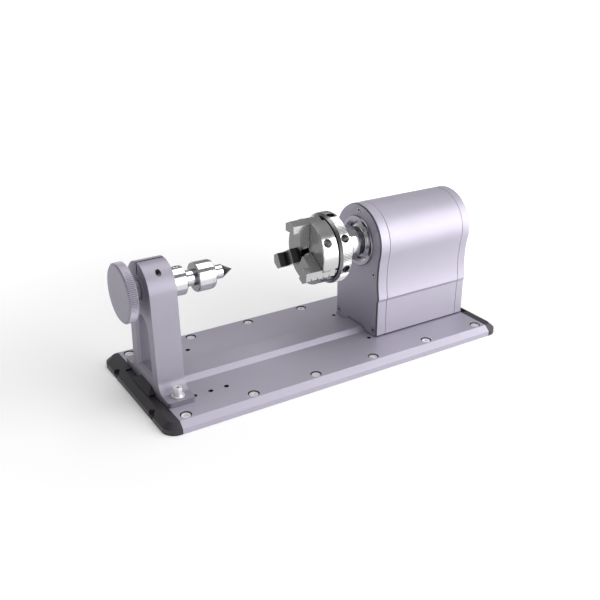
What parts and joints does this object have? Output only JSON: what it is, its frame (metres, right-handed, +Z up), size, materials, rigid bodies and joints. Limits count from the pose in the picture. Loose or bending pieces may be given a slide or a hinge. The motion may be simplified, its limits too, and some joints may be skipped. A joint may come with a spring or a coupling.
{
  "type": "cnc rotary module",
  "caption": "Rotary module with a belt-driven headstock, a three-jaw scroll chuck and an adjustable tailstock with a live centre on one ribbed base plate.",
  "frame": {"origin": "middle of the base plate's underside", "axes": "+X along the spindle line from the tailstock to the headstock, +Y across the base plate, +Z up"},
  "size_m": [0.3327, 0.1368, 0.1237],
  "materials": {
    "anodised": "bead-blasted lavender-grey anodising, satin",
    "moulded_black": "fine moulded grain, matte",
    "bright_screw": "polished zinc plate",
    "dark_screw": "blackened steel, satin",
    "chrome": "polished chrome plate",
    "turned_steel": "fine turned finish",
    "chuck_steel": "ground and turned, bright",
    "hardened_tip": "dark hardened steel, satin",
    "bearing_steel": "ground",
    "frame_aluminium": "machined",
    "motor_casing": "satin black",
    "rubber": "matte"
  },
  "bodies": {
    "base": {"base_plate": "anodised", "base_screws": "bright_screw", "bearing_retainer": "chrome", "body_shell": "anodised", "cable_socket": "moulded_black", "drive_belt": "rubber", "end_cap_left": "moulded_black", "end_cap_right": "moulded_black", "end_cap_screws": "dark_screw", "front_bearing": "bearing_steel", "front_cover": "anodised", "front_plate": "anodised", "front_plate_screws": "dark_screw", "headstock_bolts": "dark_screw", "headstock_frame": "frame_aluminium", "key_screw": "dark_screw", "motor_screws": "dark_screw", "quill_sleeve": "chrome", "rear_bearing": "bearing_steel", "rear_cover": "anodised", "rear_cover_screws": "dark_screw", "stepper_motor": "motor_casing", "tailstock_bracket": "anodised", "tailstock_screws": "bright_screw", "tailstock_washers": "bright_screw"},
    "spindle": {"spindle": "turned_steel", "spindle_nut": "turned_steel", "spindle_pulley": "frame_aluminium", "chuck_flange": "turned_steel", "chuck_body": "chuck_steel"},
    "scroll": {"scroll_ring": "chuck_steel"},
    "jaw_one": {"jaw_1": "chuck_steel"},
    "jaw_two": {"jaw_2": "chuck_steel"},
    "jaw_three": {"jaw_3": "chuck_steel"},
    "motor_rotor": {"motor_shaft": "turned_steel", "motor_pulley": "frame_aluminium"},
    "knob": {"hand_knob": "anodised", "knob_set_screw": "dark_screw", "lead_screw": "turned_steel"},
    "quill": {"quill": "turned_steel", "live_centre_body": "chrome", "live_centre_cap": "chrome", "live_centre_bearing": "bearing_steel"},
    "centre": {"centre_spindle": "turned_steel", "centre_tip": "hardened_tip"},
    "quill_clamp": {"quill_clamp_screw": "dark_screw"}
  },
  "joints": [
    {"name": "spindle_spin", "type": "hinge", "parent": "base", "child": "spindle", "pos_m": [0.05, 0, 0.0909], "axis": [1, 0, 0], "continuous": true},
    {"name": "scroll_turn", "type": "hinge", "parent": "spindle", "child": "scroll", "pos_m": [0.019, 0, 0.0909], "axis": [1, 0, 0], "range_deg": [-180, 990]},
    {"name": "jaw_one_slide", "type": "slide", "parent": "spindle", "child": "jaw_one", "axis": [0, 0, 1], "range_m": [-0.002, 0.011]},
    {"name": "jaw_two_slide", "type": "slide", "parent": "spindle", "child": "jaw_two", "axis": [0, -0.866, -0.5], "range_m": [-0.002, 0.011]},
    {"name": "jaw_three_slide", "type": "slide", "parent": "spindle", "child": "jaw_three", "axis": [0, 0.866, -0.5], "range_m": [-0.002, 0.011]},
    {"name": "motor_spin", "type": "hinge", "parent": "base", "child": "motor_rotor", "pos_m": [0.1, 0, 0.0376], "axis": [1, 0, 0], "continuous": true},
    {"name": "knob_turn", "type": "hinge", "parent": "base", "child": "knob", "pos_m": [-0.16, 0, 0.0909], "axis": [1, 0, 0], "range_deg": [-1080, 2520]},
    {"name": "quill_slide", "type": "slide", "parent": "base", "child": "quill", "axis": [1, 0, 0], "range_m": [-0.006, 0.014]},
    {"name": "centre_spin", "type": "hinge", "parent": "quill", "child": "centre", "pos_m": [-0.085, 0, 0.0909], "axis": [1, 0, 0], "continuous": true},
    {"name": "quill_clamp_turn", "type": "hinge", "parent": "base", "child": "quill_clamp", "pos_m": [-0.141, -0.009, 0.107], "axis": [0, -1, 0], "range_deg": [-30, 360]}
  ],
  "couplings": [
    {"joint": "jaw_one_slide", "follows": "scroll_turn", "m_per_rad": 0.00063662},
    {"joint": "jaw_two_slide", "follows": "scroll_turn", "m_per_rad": 0.00063662},
    {"joint": "jaw_three_slide", "follows": "scroll_turn", "m_per_rad": 0.00063662},
    {"joint": "quill_slide", "follows": "knob_turn", "m_per_rad": 0.00031831},
    {"joint": "motor_spin", "follows": "spindle_spin", "ratio": 4}
  ]
}
